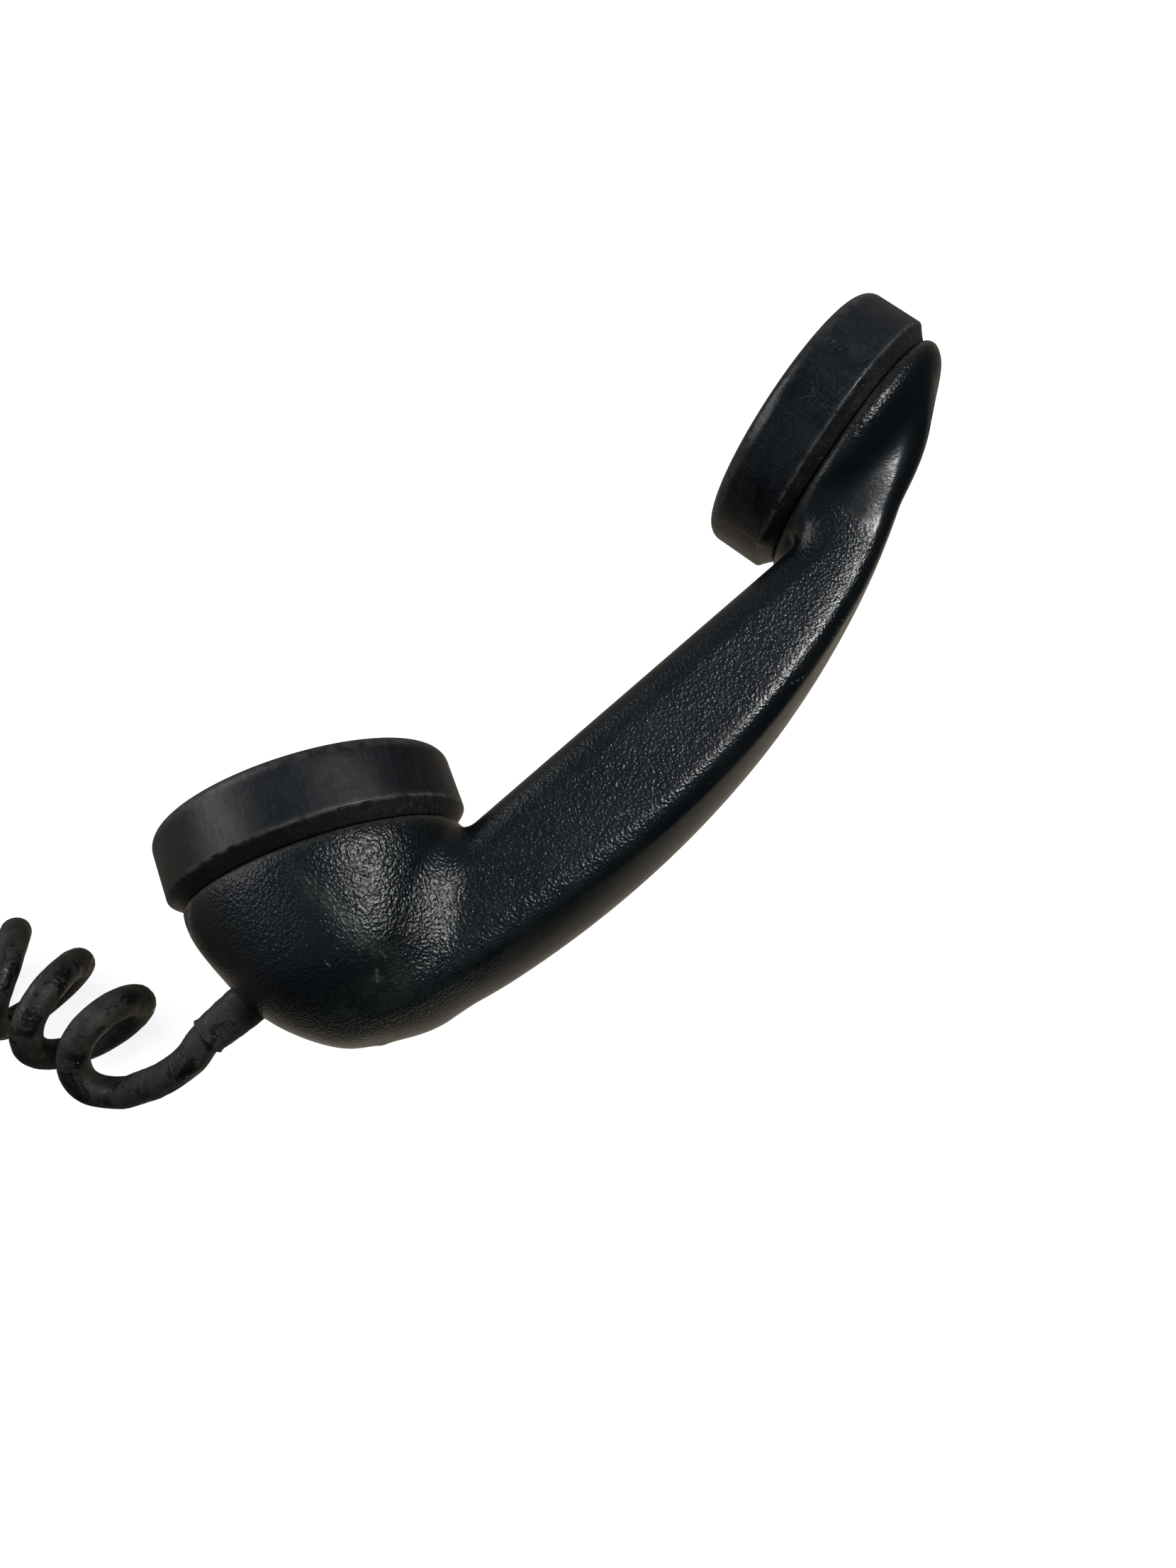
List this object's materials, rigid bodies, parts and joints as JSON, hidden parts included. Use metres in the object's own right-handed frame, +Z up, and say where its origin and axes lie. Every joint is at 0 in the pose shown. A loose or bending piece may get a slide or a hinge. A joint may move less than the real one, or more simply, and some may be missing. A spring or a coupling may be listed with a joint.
{
  "type": "telephone handset with curly cord",
  "caption": "Telephone handset with screw-on ear and mouth caps, capsules and wiring inside, and a curly cord that ends in spade lugs.",
  "frame": {"origin": "on the surface that the handset lies on, under the middle of the handset without its cord", "axes": "+X from the transmitter end to the receiver end, +Y towards the side that the ear and mouth faces look to, +Z up"},
  "size_m": [0.383, 0.1392, 0.0652],
  "materials": {
    "bakelite": "worn satin moulding with a fine pebble grain on the flat sides",
    "cap_bakelite": "worn satin moulding, dusty at the edges",
    "fibre": "vulcanised fibre",
    "aluminium": "spun and plain",
    "steel": "plain",
    "brass": "plain, slightly tarnished",
    "copper": "enamelled copper winding",
    "moulding": "moulded phenolic",
    "felt": "felt",
    "tinned": "tinned",
    "cord_rubber": "aged matt rubber with cracks and dust",
    "insulation_red": "matt",
    "insulation_black": "matt",
    "insulation_green": "matt",
    "insulation_white": "matt"
  },
  "bodies": {
    "handset": {"handle": "bakelite", "transmitter_case": "aluminium", "transmitter_grille": "aluminium", "transmitter_diaphragm": "aluminium", "receiver_case": "aluminium", "receiver_grille": "aluminium", "receiver_diaphragm": "steel", "receiver_magnet": "steel", "receiver_pole_piece": "steel", "transmitter_carbon_cell": "brass", "transmitter_rear_contact": "brass", "contact_spring_centre": "brass", "contact_spring_side": "brass", "transmitter_screw_1": "brass", "transmitter_screw_2": "brass", "receiver_screw_1": "brass", "receiver_screw_2": "brass", "receiver_coil": "copper", "contact_cup": "moulding", "receiver_terminal_plate": "moulding", "receiver_click_limiter": "moulding", "felt_plug": "felt", "cord_stay_band": "tinned", "lug_red": "tinned", "lug_black": "tinned", "lug_green": "tinned", "lug_white": "tinned", "cord_sleeve": "cord_rubber", "cord_lead": "cord_rubber", "cord_curl": "cord_rubber", "cord_tail": "cord_rubber", "cord_grommet": "cord_rubber", "wire_red": "insulation_red", "conductor_red": "insulation_red", "wire_black": "insulation_black", "conductor_black": "insulation_black", "wire_green": "insulation_green", "conductor_green": "insulation_green", "wire_white": "insulation_white", "conductor_white": "insulation_white"},
    "transmitter_washer": {"transmitter_washer": "fibre"},
    "transmitter_cap": {"transmitter_cap": "cap_bakelite"},
    "receiver_washer": {"receiver_washer": "fibre"},
    "receiver_cap": {"receiver_cap": "cap_bakelite"}
  },
  "joints": [
    {"name": "transmitter_cap_rise", "type": "slide", "parent": "handset", "child": "transmitter_washer", "axis": [0.3308, 0.8707, 0.364], "range_m": [0, 0.0075]},
    {"name": "transmitter_cap_turn", "type": "hinge", "parent": "transmitter_washer", "child": "transmitter_cap", "pos_m": [-0.07466, 0.00965, 0.03207], "axis": [0.3308, 0.8707, 0.364], "range_deg": [0, 1080]},
    {"name": "receiver_cap_rise", "type": "slide", "parent": "handset", "child": "receiver_washer", "axis": [-0.211, 0.8985, 0.385], "range_m": [0, 0.0075]},
    {"name": "receiver_cap_turn", "type": "hinge", "parent": "receiver_washer", "child": "receiver_cap", "pos_m": [0.07526, 0.01057, 0.0299], "axis": [-0.211, 0.8985, 0.385], "range_deg": [0, 1080]}
  ],
  "couplings": [
    {"joint": "transmitter_cap_rise", "follows": "transmitter_cap_turn", "m_per_rad": 0.00039789},
    {"joint": "receiver_cap_rise", "follows": "receiver_cap_turn", "m_per_rad": 0.00039789}
  ]
}
